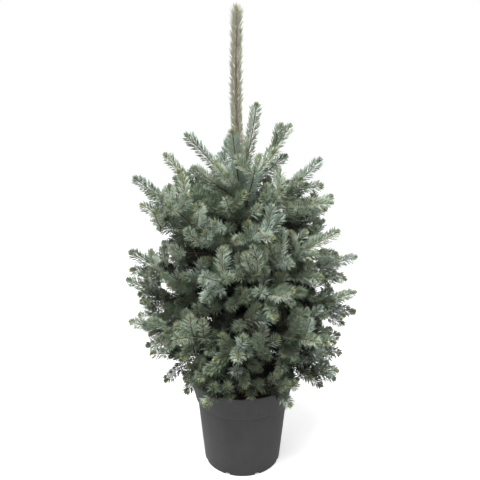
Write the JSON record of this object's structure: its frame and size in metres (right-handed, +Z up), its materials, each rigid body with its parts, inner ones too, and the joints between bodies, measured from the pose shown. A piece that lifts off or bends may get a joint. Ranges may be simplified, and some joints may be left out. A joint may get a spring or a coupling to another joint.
{
  "type": "potted blue spruce",
  "caption": "Young blue spruce with a long leader and whorled, needle-clad boughs, growing in a round dark grey nursery pot filled with soil.",
  "frame": {"origin": "centre of the pot's flat underside, on the surface that it stands on", "axes": "+Z up along the trunk to the leader's tip, -Y towards the viewer of the front, +X to the front view's right"},
  "size_m": [0.4877, 0.4264, 0.955],
  "materials": {
    "pot_plastic": "injection moulded polypropylene, dark grey, satin",
    "peat_soil": "moist dark peat substrate, crumbly",
    "spruce_bark": "thin scaly young spruce bark, orange brown to grey brown",
    "spruce_needles": "waxy blue green needles with a grey bloom"
  },
  "bodies": {
    "root": {"collar_1_needles": "spruce_needles", "collar_2_needles": "spruce_needles", "crown_1_needles": "spruce_needles", "crown_2_needles": "spruce_needles", "crown_3_needles": "spruce_needles", "crown_4_needles": "spruce_needles", "crown_5_needles": "spruce_needles", "crown_6_needles": "spruce_needles", "leader_needles": "spruce_needles", "middle_1_bough": "spruce_bark", "middle_1_needles": "spruce_needles", "middle_2_bough": "spruce_bark", "middle_2_needles": "spruce_needles", "middle_3_bough": "spruce_bark", "middle_3_needles": "spruce_needles", "middle_4_bough": "spruce_bark", "middle_4_needles": "spruce_needles", "middle_5_bough": "spruce_bark", "middle_5_needles": "spruce_needles", "middle_6_bough": "spruce_bark", "middle_6_needles": "spruce_needles", "middle_7_bough": "spruce_bark", "middle_7_needles": "spruce_needles", "middle_8_bough": "spruce_bark", "middle_8_needles": "spruce_needles", "pot": "pot_plastic", "potting_soil": "peat_soil", "shoulder_1_needles": "spruce_needles", "shoulder_2_needles": "spruce_needles", "shoulder_3_needles": "spruce_needles", "shoulder_4_needles": "spruce_needles", "shoulder_5_needles": "spruce_needles", "shoulder_6_needles": "spruce_needles", "skirt_1_bough": "spruce_bark", "skirt_1_needles": "spruce_needles", "skirt_2_bough": "spruce_bark", "skirt_2_needles": "spruce_needles", "skirt_3_bough": "spruce_bark", "skirt_3_needles": "spruce_needles", "skirt_4_bough": "spruce_bark", "skirt_4_needles": "spruce_needles", "skirt_5_bough": "spruce_bark", "skirt_5_needles": "spruce_needles", "skirt_6_bough": "spruce_bark", "skirt_6_needles": "spruce_needles", "skirt_7_bough": "spruce_bark", "skirt_7_needles": "spruce_needles", "skirt_8_bough": "spruce_bark", "skirt_8_needles": "spruce_needles", "skirt_9_bough": "spruce_bark", "skirt_9_needles": "spruce_needles", "trunk": "spruce_bark", "upper_1_needles": "spruce_needles", "upper_2_needles": "spruce_needles", "upper_3_needles": "spruce_needles", "upper_4_needles": "spruce_needles", "upper_5_needles": "spruce_needles", "upper_6_needles": "spruce_needles", "upper_7_needles": "spruce_needles", "upper_8_needles": "spruce_needles"}
  },
  "joints": []
}
